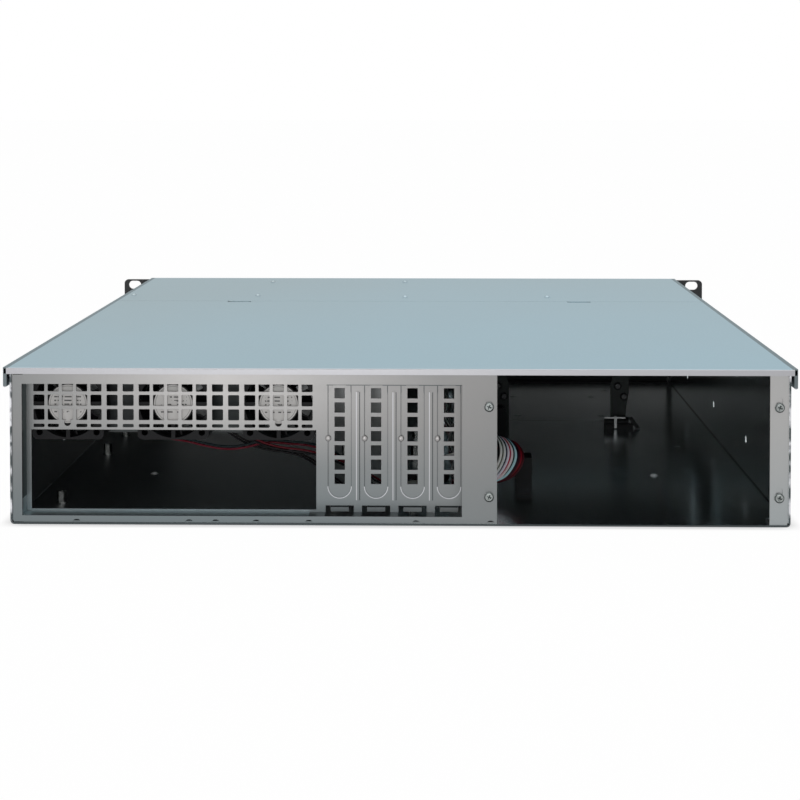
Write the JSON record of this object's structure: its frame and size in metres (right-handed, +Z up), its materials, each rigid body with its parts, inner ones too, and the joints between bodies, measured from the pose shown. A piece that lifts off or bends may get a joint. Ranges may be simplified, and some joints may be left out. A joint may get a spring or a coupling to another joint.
{
  "type": "rackmount server case",
  "caption": "Empty low rackmount server case with fan vent, board tray, open supply bay, drive cage, slot covers, rack ears and a sliding top cover.",
  "frame": {"origin": "middle of the case's outline on the plane it stands on", "axes": "+Y towards the rear panel, +Z up, X across with the connector aperture on the +X side"},
  "size_m": [0.4826, 0.5537, 0.088],
  "materials": {
    "zinc": "zinc-coated steel sheet, satin",
    "nickel": "nickel plate",
    "black_screw": "black oxide",
    "black_paint": "black powder coat",
    "black_plastic": "moulded black plastic",
    "white_plastic": "moulded natural plastic",
    "lens": "clear lens",
    "red_wire": "red insulation",
    "black_wire": "black insulation"
  },
  "bodies": {
    "case": {"base_tray": "zinc", "bay_cover": "black_plastic", "board_standoffs": "nickel", "cage_foot_far": "zinc", "cage_foot_near": "zinc", "cage_foot_screws": "black_screw", "control_bracket": "zinc", "drive_cage": "zinc", "ear_screws": "black_screw", "fan_bracket": "zinc", "fan_frame_1": "black_plastic", "fan_frame_2": "black_plastic", "fan_frame_3": "black_plastic", "fan_lead_1": "black_wire", "fan_lead_2": "red_wire", "fan_lead_3": "black_wire", "fan_plugs": "white_plastic", "fan_screws": "black_screw", "floor_rivets": "zinc", "foot_block_near": "black_plastic", "foot_clip_far": "nickel", "foot_lock_far": "black_plastic", "front_panel": "black_paint", "front_top_plate": "zinc", "harness_hank": "black_wire", "harness_plugs": "black_plastic", "harness_run": "black_wire", "inner_front": "zinc", "light_lenses": "lens", "rack_ear_left": "black_paint", "rack_ear_right": "black_paint", "rear_panel": "zinc", "slot_cover_1": "zinc", "slot_cover_2": "zinc", "slot_cover_3": "zinc", "slot_cover_4": "zinc", "slot_screws": "nickel", "supply_screws": "nickel", "top_rivets": "zinc", "usb_plug": "black_plastic", "usb_ports": "black_plastic"},
    "cover": {"top_cover": "zinc"},
    "power_key": {"power_button": "black_plastic"},
    "reset_key": {"reset_button": "black_plastic"},
    "rotor_1": {"fan_rotor_1": "black_plastic"},
    "rotor_2": {"fan_rotor_2": "black_plastic"},
    "rotor_3": {"fan_rotor_3": "black_plastic"}
  },
  "joints": [
    {"name": "cover_slide", "type": "slide", "parent": "case", "child": "cover", "axis": [0, 1, 0], "range_m": [0, 0.4]},
    {"name": "rotor_1_spin", "type": "hinge", "parent": "case", "child": "rotor_1", "pos_m": [0.1854, 0.25, 0.0648], "axis": [0, 1, 0], "continuous": true},
    {"name": "rotor_2_spin", "type": "hinge", "parent": "case", "child": "rotor_2", "pos_m": [0.1264, 0.25, 0.0648], "axis": [0, 1, 0], "continuous": true},
    {"name": "rotor_3_spin", "type": "hinge", "parent": "case", "child": "rotor_3", "pos_m": [0.0674, 0.25, 0.0648], "axis": [0, 1, 0], "continuous": true},
    {"name": "power_push", "type": "slide", "parent": "case", "child": "power_key", "axis": [0, 1, 0], "range_m": [0, 0.0012], "stiffness_N_per_m": 400, "springref_m": -0.002},
    {"name": "reset_push", "type": "slide", "parent": "case", "child": "reset_key", "axis": [0, 1, 0], "range_m": [0, 0.0012], "stiffness_N_per_m": 400, "springref_m": -0.002}
  ]
}
